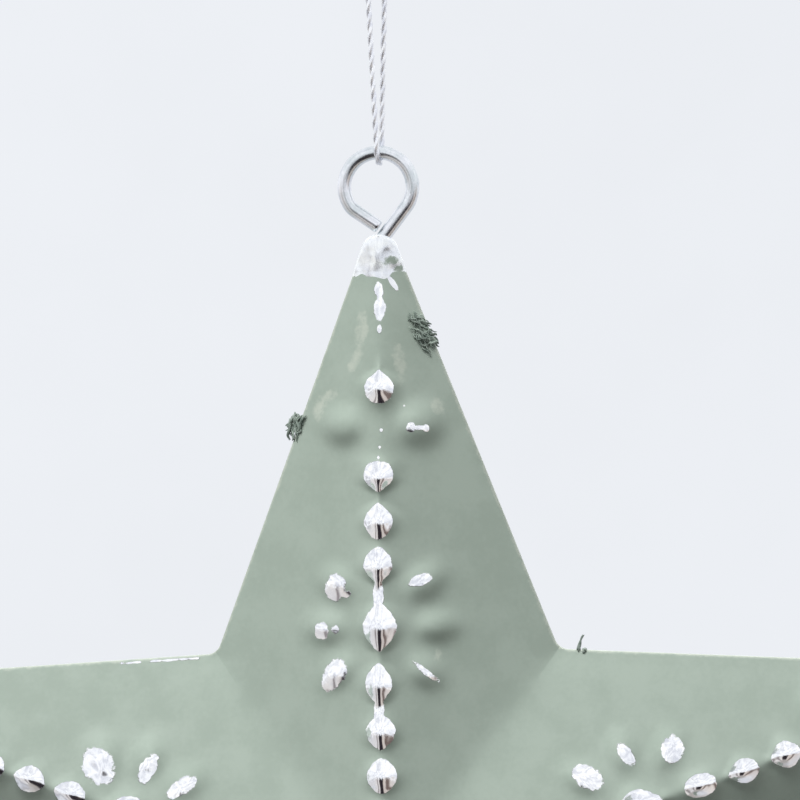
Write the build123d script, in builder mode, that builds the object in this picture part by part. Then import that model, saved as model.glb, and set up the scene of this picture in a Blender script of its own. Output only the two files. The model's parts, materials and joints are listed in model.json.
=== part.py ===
from build123d import *
from math import cos, hypot, pi, radians, sin, sqrt, tan
import os

# A hanging tin star: two embossed halves tacked rim to rim, a wire eye soldered into the top tip,
# and a loop of thread through the eye.
# Millimetres, +Z up, the front looks along -Y, and the origin is where a hook carries the loop.

# Star outline
ARM_COUNT = 5
SHARP_TIP_RADIUS = 68.3
TIP_HALF_ANGLE = 21.0
TIP_ROUND = 1.75
NOTCH_ROUND = 1.5

# Pressed halves
SHEET = 0.4
RIM_WIDTH = 0.5
CROWN_HEIGHT = 11.0

# Embossed pattern of one arm: a flower on the ridge at its place from the star's centre, rows of
# beads to both sides of it, and a pair of leaves where the arm leaves them room to its edge
FLOWER_PLACE = 26.7
FLOWER_LENGTH = 4.9
FLOWER_WIDTH = 3.4
BEAD_LENGTH = 3.6
BEAD_WIDTH = 2.8
INNER_BEAD_GAP = 5.3
INNER_BEAD_PITCH = 4.6
OUTER_BEAD_GAP = 6.35
OUTER_BEAD_PITCH = 4.45
CENTRE_BEAD_WIDTH = 4.0
PETAL_LENGTH = 3.6
PETAL_WIDTH = 2.3
PETAL_SIDE = 5.6
PETAL_DIAGONAL_ALONG = 4.4
PETAL_DIAGONAL_SIDE = 4.4
PETAL_DIAGONAL_TURN = 48.0
LEAF_SIDE = 3.9
LEAF_ROOM = 4.6
LEAF_TURN = 75.0

# Wire eye, drawn about the middle of its ring
WIRE = 1.4
EYE_RADIUS = 3.42
EYE_OVER_TIP = 4.86
LEG_ANGLE = 38.0
SHANK_BEND = 2.0
SHANK_LENGTH = 7.0
CUT_SIDE_ANGLE = 33.0
CUT_LEG_BEND = 1.8
CUT_LEG_TURN = 22.0
CUT_LEG_LENGTH = 2.9
WIRE_CLEARANCE = 0.05
CHANNEL_WALL = 0.35
CHANNEL_LENGTH = 4.8

# Solder cap on the top tip
SOLDER_LENGTH = 4.3
SOLDER_SKIN = 0.2
SOLDER_LIP = 0.25
SOLDER_TOP_WIDTH = 2.4

# Seam tacks: arm counted clockwise from the top, side of the arm with its tip turned up
# (-1 left, 1 right), way along the rim from the notch, and how far the lump's middle stands out
TACK_LENGTH = 3.2
TACK_WIDTH = 1.7
TACKS = {
    "seam_tack_top_right": (0, 1, 34.1, -0.3),
    "seam_tack_top_left": (0, -1, 24.2, 0.3),
    "seam_tack_right_upper": (1, -1, 2.3, 0.2),
    "seam_tack_right_lower": (1, 1, 27.2, 0.0),
    "seam_tack_low_right_outer": (2, -1, 18.6, 0.2),
    "seam_tack_low_right_inner": (2, 1, 31.5, -0.2),
    "seam_tack_low_left_inner": (3, -1, 25.0, 0.0),
    "seam_tack_low_left_outer": (3, 1, 15.4, 0.2),
    "seam_tack_left_lower": (4, -1, 10.0, 0.1),
    "seam_tack_left_upper": (4, 1, 29.3, 0.0),
}

# Thread loop, which a hook carries at the origin
THREAD = 0.55
THREAD_CLEARANCE = 0.1
HOOK = 2.6
EYE_DROP = 36.0
BIGHT_SPREAD = 0.27
BIGHT_TOP = 3.0
STRAND_END_GAP = 0.1
KNOT_LENGTH = 2.2
KNOT_WIDTH = 1.7
TAIL_ROOT = (0.25, 0.0, 0.9)
TAIL_BEND = (0.9, -0.2, 2.8)
TAIL_END = (2.6, -0.5, 4.4)
TAIL_BEND_RADIUS = 1.6

# Worked out from the sizes above
ALPHA = radians(TIP_HALF_ANGLE)
HALF_STEP = pi / ARM_COUNT
EDGE_DISTANCE = SHARP_TIP_RADIUS * sin(ALPHA)
NOTCH_RADIUS = EDGE_DISTANCE / sin(ALPHA + HALF_STEP)
NOTCH_ALONG = NOTCH_RADIUS * cos(HALF_STEP)
FACET_RISE = CROWN_HEIGHT / (EDGE_DISTANCE - RIM_WIDTH)
WALL_DROP = SHEET * hypot(1, FACET_RISE)
TIP_RADIUS = SHARP_TIP_RADIUS - TIP_ROUND * (1 / sin(ALPHA) - 1)
LEAF_PLACE = SHARP_TIP_RADIUS - (LEAF_SIDE + LEAF_ROOM) / tan(ALPHA)
EYE_Z = -EYE_DROP - EYE_RADIUS
TIP_Z = EYE_Z - EYE_OVER_TIP
STAR_Z = TIP_Z - TIP_RADIUS

star_plane = Plane(origin=(0, 0, STAR_Z), x_dir=(1, 0, 0), z_dir=(0, -1, 0))
eye_plane = Plane(origin=(0, 0, EYE_Z), x_dir=(1, 0, 0), z_dir=(0, -1, 0))


def arm_point(arm, along, side, height):
    """A point along one arm, sideways from its ridge and out from the seam towards the front."""
    turn = pi / 2 - 2 * HALF_STEP * arm
    across = along * cos(turn) + side * sin(turn)
    up = along * sin(turn) - side * cos(turn)
    return star_plane.from_local_coords(Vector(across, up, height))


def arm_direction(arm, along, side, height):
    return arm_point(arm, along, side, height) - arm_point(arm, 0, 0, 0)


def face_height(along, side):
    """Height of the front face over the seam."""
    return SHEET + CROWN_HEIGHT - FACET_RISE * (along * sin(ALPHA) + abs(side) * cos(ALPHA))


def edge_side(along):
    """Half the arm's width at a place along it."""
    return (SHARP_TIP_RADIUS - along) * tan(ALPHA)


def places_between(first, step, last):
    """Places from the first one towards the last, a step apart."""
    return [first + step * number for number in range(int((last - first) / step) + 1)]


def bump_plane(arm, along, side, turn):
    """The front face at one bump, with X turned `turn` degrees sideways from the arm's way out."""
    facet = (side > 0) - (side < 0)
    fall_along = FACET_RISE * sin(ALPHA)
    fall_side = FACET_RISE * cos(ALPHA) * facet
    ahead = cos(radians(turn))
    beside = sin(radians(turn))
    return Plane(
        origin=arm_point(arm, along, side, face_height(along, side)),
        x_dir=arm_direction(arm, ahead, beside, -fall_along * ahead - fall_side * beside),
        z_dir=arm_direction(arm, fall_along, fall_side, 1),
    )


def star_outline(inset, height):
    """The star's outline, moved in from the rim's edge, at a height over the seam."""
    reach = 1 - inset / EDGE_DISTANCE
    corners = []
    for step in range(2 * ARM_COUNT):
        radius = reach * (NOTCH_RADIUS if step % 2 else SHARP_TIP_RADIUS)
        corners.append((radius * sin(step * HALF_STEP), radius * cos(step * HALF_STEP)))
    with BuildSketch(star_plane.offset(height)) as outline:
        Polygon(*corners, align=None)
        fillet(outline.vertices().sort_by_distance((0, 0))[-ARM_COUNT:], TIP_ROUND - inset)
        fillet(outline.vertices().sort_by_distance((0, 0))[:ARM_COUNT], NOTCH_ROUND + inset)
    return outline.sketch


def lump(length, width):
    """A lump with its long axis on X: a round belly that tapers to a point at each end."""
    belly = width / 2
    touch = (belly * width / length, belly * sqrt(1 - (width / length) ** 2))
    with BuildPart() as tapered:
        with BuildSketch():
            with BuildLine():
                Polyline((-touch[0], touch[1]), (-length / 2, 0), (length / 2, 0), touch)
                ThreePointArc(touch, (0, belly), (-touch[0], touch[1]))
            make_face()
        revolve(axis=Axis.X)
    return tapered.part


# Wire eye: shank up the top arm, leg, ring, and the short leg with the cut end
leg_turn = radians(LEG_ANGLE)
leg_start = (EYE_RADIUS * cos(leg_turn), -EYE_RADIUS * sin(leg_turn))
leg_foot = (0, -EYE_RADIUS / sin(leg_turn))
shank_foot = (0, leg_foot[1] - SHANK_LENGTH)
with BuildPart() as hanger_eye:
    with BuildLine(eye_plane) as eye_line:
        FilletPolyline(shank_foot, leg_foot, leg_start, radius=SHANK_BEND)
        ring = CenterArc((0, 0), EYE_RADIUS, -LEG_ANGLE, 180 + LEG_ANGLE + CUT_SIDE_ANGLE)
        cut_bend = JernArc(ring @ 1, ring % 1, CUT_LEG_BEND, CUT_LEG_TURN)
        PolarLine(cut_bend @ 1, CUT_LEG_LENGTH, direction=cut_bend % 1)
    with BuildSketch(Plane(origin=(0, 0, EYE_Z + shank_foot[1]), z_dir=(0, 0, 1))):
        Circle(WIRE / 2)
    sweep(path=eye_line.wires()[0])

# Room for the wire where it enters the tip
with BuildPart() as wire_room:
    with BuildSketch(Plane(origin=(0, 0, EYE_Z + shank_foot[1]), z_dir=(0, 0, 1))):
        Circle(WIRE / 2 + WIRE_CLEARANCE)
    sweep(path=eye_line.wires()[0])

# Front half as a solid blank: flat rim and facets
apex = arm_point(0, 0, 0, SHEET + CROWN_HEIGHT)
inner_apex = arm_point(0, 0, 0, SHEET + CROWN_HEIGHT - WALL_DROP)
with BuildPart() as front_blank:
    extrude(star_outline(0, 0), amount=SHEET, dir=star_plane.z_dir)
    loft(sections=[star_outline(RIM_WIDTH, SHEET), Vertex(*apex)], ruled=True)

# Half-round channel that the shank lies in, at the top tip
with BuildPart() as shank_channel:
    with BuildSketch(Plane.XY.offset(TIP_Z - CHANNEL_LENGTH)):
        Circle(WIRE / 2 + WIRE_CLEARANCE + CHANNEL_WALL)
        split(bisect_by=Plane.XZ, keep=Keep.TOP)
    extrude(amount=CHANNEL_LENGTH)

# Where the bumps of one arm lie on the front face
bead_places = [
    *places_between(
        FLOWER_PLACE - INNER_BEAD_GAP, -INNER_BEAD_PITCH, CENTRE_BEAD_WIDTH / 2 + BEAD_LENGTH
    ),
    *places_between(
        FLOWER_PLACE + OUTER_BEAD_GAP, OUTER_BEAD_PITCH, LEAF_PLACE - OUTER_BEAD_PITCH / 2
    ),
    LEAF_PLACE + OUTER_BEAD_PITCH,
]
bead_planes = [bump_plane(0, place, 0, 0) for place in bead_places]
flower_planes = [bump_plane(0, FLOWER_PLACE, 0, 0)]
petal_planes = []
for side in (-1, 1):
    petal_planes.append(bump_plane(0, FLOWER_PLACE, side * PETAL_SIDE, side * 90))
    petal_planes.append(bump_plane(0, LEAF_PLACE, side * LEAF_SIDE, side * LEAF_TURN))
    for end in (-1, 1):
        place = FLOWER_PLACE + end * PETAL_DIAGONAL_ALONG
        turn = side * (90 - end * (90 - PETAL_DIAGONAL_TURN))
        petal_planes.append(bump_plane(0, place, side * PETAL_DIAGONAL_SIDE, turn))
centre_plane = Plane(origin=apex, z_dir=star_plane.z_dir)
bump_kinds = (
    (bead_planes, BEAD_LENGTH, BEAD_WIDTH),
    (flower_planes, FLOWER_LENGTH, FLOWER_WIDTH),
    (petal_planes, PETAL_LENGTH, PETAL_WIDTH),
)
bumps = [(planes, lump(length, width)) for planes, length, width in bump_kinds]
hollows = [
    (planes, lump(length - 2 * SHEET, width - 2 * SHEET)) for planes, length, width in bump_kinds
]

# One arm of the front half, from valley to valley, with its bumps pressed out of the sheet
valley_planes = [
    Plane(
        origin=star_plane.origin,
        z_dir=arm_direction(0, sin(HALF_STEP), -side * cos(HALF_STEP), 0),
    )
    for side in (-1, 1)
]
with BuildPart() as front_arm:
    add(front_blank.part)
    with Locations(centre_plane):
        Sphere(CENTRE_BEAD_WIDTH / 2)
    for valley in valley_planes:
        split(bisect_by=valley, keep=Keep.TOP)
    for planes, bump in bumps:
        with Locations(*planes):
            add(bump, clean=False)
    loft(
        sections=[star_outline(RIM_WIDTH, SHEET - WALL_DROP), Vertex(*inner_apex)],
        ruled=True,
        clean=False,
        mode=Mode.SUBTRACT,
    )
    with Locations(centre_plane):
        Sphere(CENTRE_BEAD_WIDTH / 2 - SHEET, mode=Mode.SUBTRACT)
    for planes, hollow in hollows:
        with Locations(*planes):
            add(hollow, clean=False, mode=Mode.SUBTRACT)

# The top arm has the shank's channel as well
with BuildPart() as front_top_arm:
    add(front_arm.part)
    add(shank_channel.part)
    add(wire_room.part, mode=Mode.SUBTRACT)

# Front half: the skins of the arms joined along the valleys
star_axis = Axis(star_plane.origin, star_plane.z_dir)
skin = []
for arm in range(ARM_COUNT):
    arm_part = front_arm.part if arm else front_top_arm.part
    inner_cuts = [face for valley in valley_planes for face in arm_part.faces().filter_by(valley)]
    for face in arm_part.faces():
        if face not in inner_cuts:
            skin.append(face.rotate(star_axis, arm * 360 / ARM_COUNT))
with BuildPart() as front_shell:
    add(Solid(Shell(skin)), clean=False)

# Back half: the same pressing, turned to the other side
with BuildPart() as back_shell:
    add(front_shell.part.mirror(Plane.XZ), clean=False)

# Both halves as one solid, which the solder and the tacks are shaped against
with BuildPart() as star_blank:
    add(front_blank.part)
    add(shank_channel.part)
    mirror(star_blank.part, about=Plane.XZ)

# Solder cap: a skin over the top tip, round the wire
cap_foot = TIP_RADIUS - SOLDER_LENGTH
cap_sizes = (
    (cap_foot, edge_side(cap_foot) + SOLDER_SKIN, face_height(cap_foot, 0) + SOLDER_SKIN),
    (TIP_RADIUS + SOLDER_LIP, SOLDER_TOP_WIDTH / 2, SOLDER_TOP_WIDTH / 2),
)
with BuildPart() as tip_solder:
    for along, half_width, half_depth in cap_sizes:
        with BuildSketch(Plane.XY.offset(STAR_Z + along)):
            rim = SHEET + SOLDER_SKIN
            upper = [(-half_width, rim), (0, half_depth), (half_width, rim)]
            Polygon(*upper, *[(x, -y) for x, y in reversed(upper)], align=None)
    loft(ruled=True)
    add(star_blank.part, mode=Mode.SUBTRACT)
    add(wire_room.part, mode=Mode.SUBTRACT)

# Seam tacks: one lump over the rim on each side of each arm
tack_lump = lump(TACK_LENGTH, TACK_WIDTH)
tack_parts = {}
for name, (arm, side, from_notch, proud) in TACKS.items():
    along = NOTCH_ALONG + from_notch * cos(ALPHA)
    tack_plane = Plane(
        origin=arm_point(arm, along, side * (edge_side(along) + proud), 0),
        x_dir=arm_direction(arm, cos(ALPHA), -side * sin(ALPHA), 0),
        z_dir=star_plane.z_dir,
    )
    with BuildPart() as tack:
        with Locations(tack_plane):
            add(tack_lump)
        add(star_blank.part, mode=Mode.SUBTRACT)
    tack_parts[name] = tack.part

# Thread: from the knot over the hook, down, under the eye's wire and back up
hook_turn = (HOOK + THREAD) / 2
wire_turn = (WIRE + THREAD) / 2 + THREAD_CLEARANCE
thread_top = THREAD / 2
bight_low = -EYE_DROP - wire_turn
right_half = [
    (BIGHT_SPREAD, wire_turn, bight_low),
    (hook_turn, 0, thread_top),
    (STRAND_END_GAP / 2, 0, thread_top),
]
left_half = [(-x, -y, z) for x, y, z in reversed(right_half)]
hook_arc = HOOK / 2
turn_radii = [hook_arc, wire_turn, wire_turn, hook_arc]
with BuildPart() as thread:
    with BuildLine() as thread_line:
        FilletPolyline(*left_half, *right_half, radius=turn_radii)
    thread_path = thread_line.wire()
    with BuildSketch(Plane(origin=thread_path @ 0, z_dir=thread_path % 0)):
        Circle(THREAD / 2)
    sweep(path=thread_path)
thread_volume = pi * THREAD**2 / 4 * thread_path.length
print("thread length", thread_path.length, "turn radii", turn_radii)
print("thread volume", thread.part.volume, "section times length", thread_volume)

turn_plane = Plane.XY.offset(-EYE_DROP + BIGHT_TOP)
with BuildPart() as cord_bight:
    add(thread.part)
    split(bisect_by=turn_plane, keep=Keep.BOTTOM)

with BuildPart() as cord_strands:
    add(thread.part)
    split(bisect_by=turn_plane, keep=Keep.TOP)
strands = cord_strands.solids().sort_by(Axis.X)

with BuildPart() as cord_left_strand:
    add(strands[0])

with BuildPart() as cord_right_strand:
    add(strands[-1])

# Knot over the hook, with its two tails
with BuildPart() as cord_knot:
    with Locations((0, 0, KNOT_WIDTH / 2)):
        add(lump(KNOT_LENGTH, KNOT_WIDTH))
    for side in (-1, 1):
        tail_points = [(side * x, side * y, z) for x, y, z in (TAIL_ROOT, TAIL_BEND, TAIL_END)]
        with BuildLine() as tail_line:
            FilletPolyline(*tail_points, radius=TAIL_BEND_RADIUS)
        tail_path = tail_line.wire()
        with BuildSketch(Plane(origin=tail_path @ 0, z_dir=tail_path % 0)):
            Circle(THREAD / 2)
        sweep(path=tail_path)
    add(thread.part, mode=Mode.SUBTRACT)

nodes = {
    "front_shell": front_shell.part,
    "back_shell": back_shell.part,
    "hanger_eye": hanger_eye.part,
    "tip_solder": tip_solder.part,
    **tack_parts,
    "cord_left_strand": cord_left_strand.part,
    "cord_right_strand": cord_right_strand.part,
    "cord_bight": cord_bight.part,
    "cord_knot": cord_knot.part,
}
os.makedirs("parts", exist_ok=True)
for name, part in nodes.items():
    part.label = name
    export_step(part, f"parts/{name}.step")
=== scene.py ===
import json
from math import cos, pi, radians, sin, tan

import bmesh
import bpy
import numpy as np
from bpy.props import FloatProperty, FloatVectorProperty, IntProperty, PointerProperty
from mathutils import Matrix, Vector


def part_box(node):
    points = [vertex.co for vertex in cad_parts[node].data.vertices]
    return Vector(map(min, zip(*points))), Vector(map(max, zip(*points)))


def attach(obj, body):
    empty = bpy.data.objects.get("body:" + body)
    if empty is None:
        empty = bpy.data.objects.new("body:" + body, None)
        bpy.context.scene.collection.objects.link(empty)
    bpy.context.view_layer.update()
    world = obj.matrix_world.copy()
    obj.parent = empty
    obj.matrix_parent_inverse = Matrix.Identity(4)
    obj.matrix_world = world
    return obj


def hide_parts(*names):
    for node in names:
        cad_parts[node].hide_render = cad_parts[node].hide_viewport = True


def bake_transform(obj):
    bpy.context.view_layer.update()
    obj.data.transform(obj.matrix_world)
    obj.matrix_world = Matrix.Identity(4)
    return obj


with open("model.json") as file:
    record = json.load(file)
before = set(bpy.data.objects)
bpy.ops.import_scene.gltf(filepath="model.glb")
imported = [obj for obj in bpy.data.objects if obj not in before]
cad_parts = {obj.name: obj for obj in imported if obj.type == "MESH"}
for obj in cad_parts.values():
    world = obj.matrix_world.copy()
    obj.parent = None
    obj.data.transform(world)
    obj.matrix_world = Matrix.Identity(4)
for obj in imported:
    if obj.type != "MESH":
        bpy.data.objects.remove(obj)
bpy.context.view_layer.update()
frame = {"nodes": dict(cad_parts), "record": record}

bl_info = {
    "name": "Hanging tin star",
    "version": (1, 0, 0),
    "blender": (4, 5, 0),
    "location": "3D View > Sidebar > Tin star",
    "description": "Dresses a pressed tin star that hangs by a wire eye and a loop of thread",
    "category": "Object",
}

MM = 0.001
MOUNTS = {mount["name"]: Vector(mount["pos_m"]) for mount in frame["record"]["mounts"]}
FRONT, BACK = -1, 1
SEED = 7

# Two places nearer than this are the same, and tubes have a point for each step of their line
SAME = 1e-9
STEP = 0.1 * MM


# Settings


def srgb(red, green, blue):
    """A colour picked from a screen, 0 to 255, as the linear values that the shaders use."""
    shares = [value / 255 for value in (red, green, blue)]
    return tuple(s / 12.92 if s <= 0.04045 else ((s + 0.055) / 1.055) ** 2.4 for s in shares)


def length(name, description, default):
    return FloatProperty(
        name=name, description=description, default=default, unit="LENGTH", precision=5
    )


def angle(name, description, degrees):
    return FloatProperty(
        name=name, description=description, default=radians(degrees), subtype="ANGLE"
    )


def colour(name, description, default):
    return FloatVectorProperty(
        name=name, description=description, default=default, subtype="COLOR", min=0, max=1
    )


class StarSizes(bpy.types.PropertyGroup):
    """Outline and facets of one pressed half."""

    arm_count: IntProperty(name="Arms", description="Number of arms", default=5)
    sharp_tip_radius: length("Tip reach", "Centre to where an arm's edges would meet", 68.3 * MM)
    tip_half_angle: angle("Tip half angle", "Between an arm's ridge and its edge", 21)
    tip_round: length("Tip rounding", "Radius of the tips", 1.75 * MM)
    notch_round: length("Notch rounding", "Radius between two arms", 1.5 * MM)
    sheet: length("Sheet", "Thickness of the tin", 0.4 * MM)
    rim_width: length("Rim", "Width of the flat rim", 0.05 * MM)
    edge_band: length("Edge band", "Finely divided strip beside the edge", 0.5 * MM)
    crown_height: length("Crown", "Height of the facets at the centre", 11 * MM)
    ridge_softness: length("Ridge softness", "Rounding of the ridges", 1.0 * MM)
    valley_softness: length("Valley softness", "Rounding of the valleys", 1.4 * MM)
    edge_round: length("Edge rounding", "Rounding of the rim's edge", 0.18 * MM)


class PressingSizes(bpy.types.PropertyGroup):
    """Beads, petals and leaves pressed out of each arm."""

    flower_place: length("Flower place", "From the star's centre along the ridge", 26.7 * MM)
    flower_length: length("Flower length", "Length of the flower's middle", 4.9 * MM)
    flower_width: length("Flower width", "Width of the flower's middle", 3.4 * MM)
    flower_height: length("Flower height", "Height of the flower's middle", 1.45 * MM)
    bead_length: length("Bead length", "Length of a bead", 3.6 * MM)
    bead_width: length("Bead width", "Width of a bead", 2.8 * MM)
    bead_height: length("Bead height", "Height of a bead", 1.2 * MM)
    inner_gap: length("Inner gap", "Flower to the first bead inwards", 5.3 * MM)
    inner_pitch: length("Inner pitch", "Between beads towards the centre", 4.6 * MM)
    outer_gap: length("Outer gap", "Flower to the first bead outwards", 6.35 * MM)
    outer_pitch: length("Outer pitch", "Between beads towards the tip", 4.45 * MM)
    centre_width: length("Centre bead", "Width of the bead at the star's centre", 4.0 * MM)
    petal_length: length("Petal length", "Length of petals and leaves", 4.1 * MM)
    petal_width: length("Petal width", "Width of petals and leaves", 3.0 * MM)
    petal_height: length("Petal height", "Height of petals and leaves", 0.76 * MM)
    petal_side: length("Petal side", "Ridge to the petals beside the flower", 5.6 * MM)
    diagonal_along: length("Diagonal along", "Flower to a slanting petal, along", 4.4 * MM)
    diagonal_side: length("Diagonal side", "Ridge to a slanting petal", 4.4 * MM)
    diagonal_turn: angle("Diagonal turn", "Slant of the slanting petals", 48)
    leaf_side: length("Leaf side", "Ridge to a leaf's middle", 3.9 * MM)
    leaf_room: length("Leaf room", "Leaf's middle to the arm's edge", 4.6 * MM)
    leaf_turn: angle("Leaf turn", "Slant of the leaves", 75)


class EyeSizes(bpy.types.PropertyGroup):
    """Wire eye on the top tip."""

    wire: length("Wire", "Thickness of the wire", 1.4 * MM)
    radius: length("Eye radius", "Middle of the ring to the middle of its wire", 3.42 * MM)
    leg_angle: angle("Leg angle", "Where the long leg leaves the ring, below level", 38)
    shank_bend: length("Shank bend", "Radius where the leg turns down", 2.0 * MM)
    shank_length: length("Shank", "Length inside the arm", 4.0 * MM)
    cut_angle: angle("Cut side angle", "Where the short leg leaves the ring, below level", 33)
    cut_bend: length("Cut leg bend", "Radius of the short leg's bend", 1.8 * MM)
    cut_turn: angle("Cut leg turn", "How far the short leg bends", 22)
    cut_length: length("Cut leg", "Straight end of the short leg", 2.9 * MM)


class ThreadSizes(bpy.types.PropertyGroup):
    """Two-ply thread of the loop."""

    thickness: length("Thread", "Thickness of the twisted thread", 0.6 * MM)
    ply: length("Ply", "Thickness of one ply", 0.38 * MM)
    pitch: length("Twist", "Length of one full turn of a ply", 2.8 * MM)


class Finishes(bpy.types.PropertyGroup):
    """Colours of paint and metal."""

    sage: colour("Sage", "Main colour of the paint", srgb(173, 187, 175))
    olive: colour("Olive", "Deeper clouds in the paint", srgb(166, 180, 168))
    # Pale paint of the rubs, partly painted highlights of the paint's sheen and along every edge
    scuff_and_highlight: colour("Scuff", "Pale rubs on the paint", srgb(206, 213, 200))
    tin: colour("Tin", "Bare tin", srgb(250, 251, 252))
    tin_shade: colour("Dull tin", "Clouds in bare tin", srgb(234, 236, 241))
    solder: colour("Solder", "Solder on the top tip", srgb(252, 255, 255))
    solder_shade: colour("Dull solder", "Bluish clouds in the solder", srgb(238, 242, 249))
    wire: colour("Wire", "Bright wire", srgb(213, 220, 223))
    tack: colour("Tack paint", "Thick dark paint on the tacks", srgb(96, 111, 102))
    tack_light: colour("Tack glints", "Lighter paint on the tacks", srgb(164, 177, 167))
    thread: colour("Thread", "Metallic thread", srgb(253, 254, 255))
    # Grey of the thread's clouds, and painted shade between its filaments
    thread_shade: colour("Thread shade", "Between the thread's filaments", srgb(236, 239, 247))


class StageSizes(bpy.types.PropertyGroup):
    """Camera, light and the pale room."""

    distance: length("Distance", "Camera to the point that it looks at", 700 * MM)
    azimuth: angle("Azimuth", "Camera to the right of straight ahead", 6.041)
    elevation: angle("Elevation", "Camera above level", 0.837)
    roll: angle("Roll", "Turn of the camera about its own line", -1.125)
    target_x: length("Target X", "Point that the camera looks at", 1.75 * MM)
    target_z: length("Target Z", "Point that the camera looks at", -60.752 * MM)
    lens: FloatProperty(name="Lens", description="Focal length, mm on 36 mm", default=315.44)
    wall_gap: length("Wall", "Hanging line to the wall behind", 250 * MM)
    floor_drop: length("Floor", "Hanging point to the floor", 420 * MM)
    wall: colour("Wall colour", "Wall behind the star", srgb(240, 243, 248))
    floor: colour("Floor colour", "Floor below the star", srgb(232, 233, 236))
    lamp_power: FloatProperty(name="Lamp", description="Power of the front lamp, W", default=5.75)


class TinStar(bpy.types.PropertyGroup):
    """All settings of the star."""

    star: PointerProperty(type=StarSizes)
    pressing: PointerProperty(type=PressingSizes)
    eye: PointerProperty(type=EyeSizes)
    thread: PointerProperty(type=ThreadSizes)
    finish: PointerProperty(type=Finishes)
    stage: PointerProperty(type=StageSizes)


# Star form


def soft_max(first, second, blend):
    """The larger of two heights, with a rounded step of about `blend` where they cross."""
    near = np.clip(1 - np.abs(first - second) / blend, 0, None)
    return np.maximum(first, second) + near**2 * blend / 4


class StarForm:
    """The star's outline and facets, as functions of a place on one arm.

    A place is `along` the arm's ridge from the star's centre and `side` from that ridge.
    """

    def __init__(self, star):
        self.star = star
        self.alpha = star.tip_half_angle
        self.half_step = pi / star.arm_count
        corner = self.alpha + self.half_step
        self.edge_distance = star.sharp_tip_radius * sin(self.alpha)
        self.tip_centre = star.sharp_tip_radius - star.tip_round / sin(self.alpha)
        self.tip_radius = self.tip_centre + star.tip_round
        notch_radius = self.edge_distance / sin(corner)
        self.notch_along = notch_radius * cos(self.half_step)
        arc_radius = notch_radius + star.notch_round / sin(corner)
        self.arc_along = arc_radius * cos(self.half_step)
        self.arc_side = arc_radius * sin(self.half_step)
        self.valley_end = (arc_radius - star.notch_round) * cos(self.half_step)
        self.rise = star.crown_height / (self.edge_distance - star.rim_width)
        self.centre_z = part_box("front_shell")[1].z - self.tip_radius

    def half_width(self, along):
        """From the ridge to the valley, or further out to the arm's rounded outline."""
        star = self.star
        notch = star.notch_round**2 - (along - self.arc_along) ** 2
        tip = star.tip_round**2 - (along - self.tip_centre) ** 2
        return np.select(
            [
                along <= self.valley_end,
                along < self.arc_along - star.notch_round * sin(self.alpha),
                along < self.tip_centre + star.tip_round * sin(self.alpha),
            ],
            [
                along * tan(self.half_step),
                self.arc_side - np.sqrt(np.clip(notch, 0, None)),
                (star.sharp_tip_radius - along) * tan(self.alpha),
            ],
            np.sqrt(np.clip(tip, 0, None)),
        )

    def tip_rows(self, count):
        """Places along the rounded tip, closer together towards its end."""
        return self.tip_centre + self.star.tip_round * np.sin(np.linspace(0, pi / 2, count))

    def facet_gap(self, along, side):
        """From a place to the arm's edge, with the rounded tip."""
        side = np.abs(side)
        gap = self.edge_distance - along * sin(self.alpha) - side * cos(self.alpha)
        out = along - self.tip_centre
        in_tip = (out > 0) & (side * tan(self.alpha) < out)
        return np.where(in_tip, self.star.tip_round - np.hypot(out, side), gap)

    def edge_gap(self, along, side):
        """From a place to the outline, with the rounded notches too."""
        back = self.arc_along - along
        beside = self.arc_side - np.abs(side)
        in_notch = (back > 0) & (beside * tan(self.alpha) < back)
        round_gap = np.hypot(back, beside) - self.star.notch_round
        return np.where(in_notch, round_gap, self.facet_gap(along, side))

    def facet_height(self, along, side):
        """Height of the face over the seam before the bumps are pressed."""
        star = self.star
        side = np.abs(side)
        gap = self.facet_gap(along, side)
        height = self.rise * (gap - star.rim_width)
        ridge_soft = np.minimum(star.ridge_softness, 0.3 * self.half_width(along))
        height = height - self.rise * cos(self.alpha) * (np.hypot(side, ridge_soft) - side)
        valley_gap = along * sin(self.half_step) - side * cos(self.half_step)
        valley_soft = star.valley_softness * np.clip(gap / (2 * star.valley_softness), 0.01, 1)
        lift = np.hypot(valley_gap, valley_soft) - valley_gap
        height = height + self.rise * cos(self.alpha + self.half_step) * lift
        return star.sheet + soft_max(height, 0, 0.5 * star.rim_width)

    def round_edge(self, along, side, height):
        """The height again, with the rim's edge rounded off."""
        near = np.clip(1 - self.edge_gap(along, side) / self.star.edge_round, 0, 1)
        return height - self.star.edge_round * (1 - np.sqrt(1 - near**2))

    def to_frame(self, arm, along, side, height, facing):
        """Places on an arm as points of the frame."""
        turn = pi / 2 - 2 * self.half_step * arm
        across = along * cos(turn) + side * sin(turn)
        up = along * sin(turn) - side * cos(turn)
        return np.stack([across, facing * height, self.centre_z + up], axis=-1)

    def to_arm(self, points):
        """The arm, the place along it and the place beside its ridge, for points of the frame."""
        across, up = points[..., 0], points[..., 2] - self.centre_z
        turn = np.arctan2(across, up)
        arm = np.round(turn / (2 * self.half_step)).astype(int)
        turn = turn - arm * 2 * self.half_step
        reach = np.hypot(across, up)
        return arm % self.star.arm_count, reach * np.cos(turn), reach * np.sin(turn)


# How fast a bump falls away from its middle
FOOT = 1.2


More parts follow.
